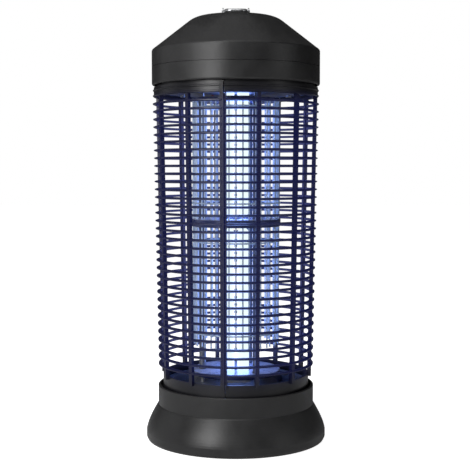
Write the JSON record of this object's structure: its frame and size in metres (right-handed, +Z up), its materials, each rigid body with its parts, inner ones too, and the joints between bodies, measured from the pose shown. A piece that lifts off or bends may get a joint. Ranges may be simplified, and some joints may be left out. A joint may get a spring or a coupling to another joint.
{
  "type": "electric bug zapper",
  "caption": "Upright electric insect killer: ribbed cylindrical guard around a wired grid and lit twin-tube lamps, conical head with hanging loop, flared catch-tray base.",
  "frame": {"origin": "bottom centre, on the surface that the rubber feet stand on", "axes": "+Z up along the tower's axis; -Y is the front, opposite the cord gland; +X to the right seen from the front"},
  "size_m": [0.1904, 0.1904, 0.4548],
  "materials": {
    "body_plastic": "fine satin",
    "guard_plastic": "satin",
    "frame_plastic": "satin",
    "foot_rubber": "matt",
    "gland_rubber": "matt",
    "socket_plastic": "semi-gloss",
    "lamp_base_plastic": "semi-gloss",
    "lamp_glass": "phosphor-coated, lit",
    "insulator": "semi-gloss",
    "grid_steel": "drawn wire",
    "zinc": "zinc-plated",
    "core_steel": "laminated",
    "copper_wire": "enamelled",
    "board": "solder mask",
    "capacitor_plastic": "gloss",
    "resistor_ceramic": "matt",
    "lead_red": "matt",
    "lead_blue": "matt"
  },
  "bodies": {
    "base": {"base_tray": "body_plastic", "rubber_foot_1": "foot_rubber", "rubber_foot_2": "foot_rubber", "rubber_foot_3": "foot_rubber", "rubber_foot_4": "foot_rubber"},
    "tower": {"lower_chassis": "frame_plastic", "lower_lamp_socket": "socket_plastic", "lower_lamp_base": "lamp_base_plastic", "lower_lamp_glass": "lamp_glass", "upper_lamp_socket": "socket_plastic", "upper_lamp_base": "lamp_base_plastic", "upper_lamp_glass": "lamp_glass", "grid_top_plate": "insulator", "grid_middle_plate": "insulator", "grid_bottom_plate": "insulator", "grid_wires_live": "grid_steel", "grid_wires_return": "grid_steel", "live_ring_upper": "grid_steel", "live_ring_lower": "grid_steel", "return_ring_upper": "grid_steel", "return_ring_lower": "grid_steel", "tie_rod_1": "zinc", "tie_rod_2": "zinc", "tie_rod_3": "zinc", "top_nut_1": "zinc", "top_nut_2": "zinc", "top_nut_3": "zinc", "bottom_nut_1": "zinc", "bottom_nut_2": "zinc", "bottom_nut_3": "zinc", "lead_conduit": "socket_plastic", "guard_left": "guard_plastic", "guard_right": "guard_plastic", "head_chassis": "frame_plastic", "head_skirt": "body_plastic", "head_cover": "body_plastic", "cover_screw_1": "zinc", "cover_screw_2": "zinc", "cover_screw_3": "zinc", "ballast_core": "core_steel", "ballast_coil": "copper_wire", "transformer_core": "core_steel", "transformer_coil": "copper_wire", "circuit_board": "board", "capacitors": "capacitor_plastic", "resistors": "resistor_ceramic", "terminal_block": "socket_plastic", "lead_live": "lead_red", "lead_return": "lead_blue", "cord_gland": "gland_rubber", "loop_bracket": "zinc", "bracket_screw_1": "zinc", "bracket_screw_2": "zinc"},
    "loop": {"hanging_loop": "zinc"}
  },
  "joints": [
    {"name": "tower_lift", "type": "slide", "parent": "base", "child": "tower", "axis": [0, 0, 1], "range_m": [0, 0.08]},
    {"name": "loop_fold", "type": "hinge", "parent": "tower", "child": "loop", "pos_m": [0, 0, 0.4512], "axis": [-1, 0, 0], "range_deg": [0, 180]}
  ]
}
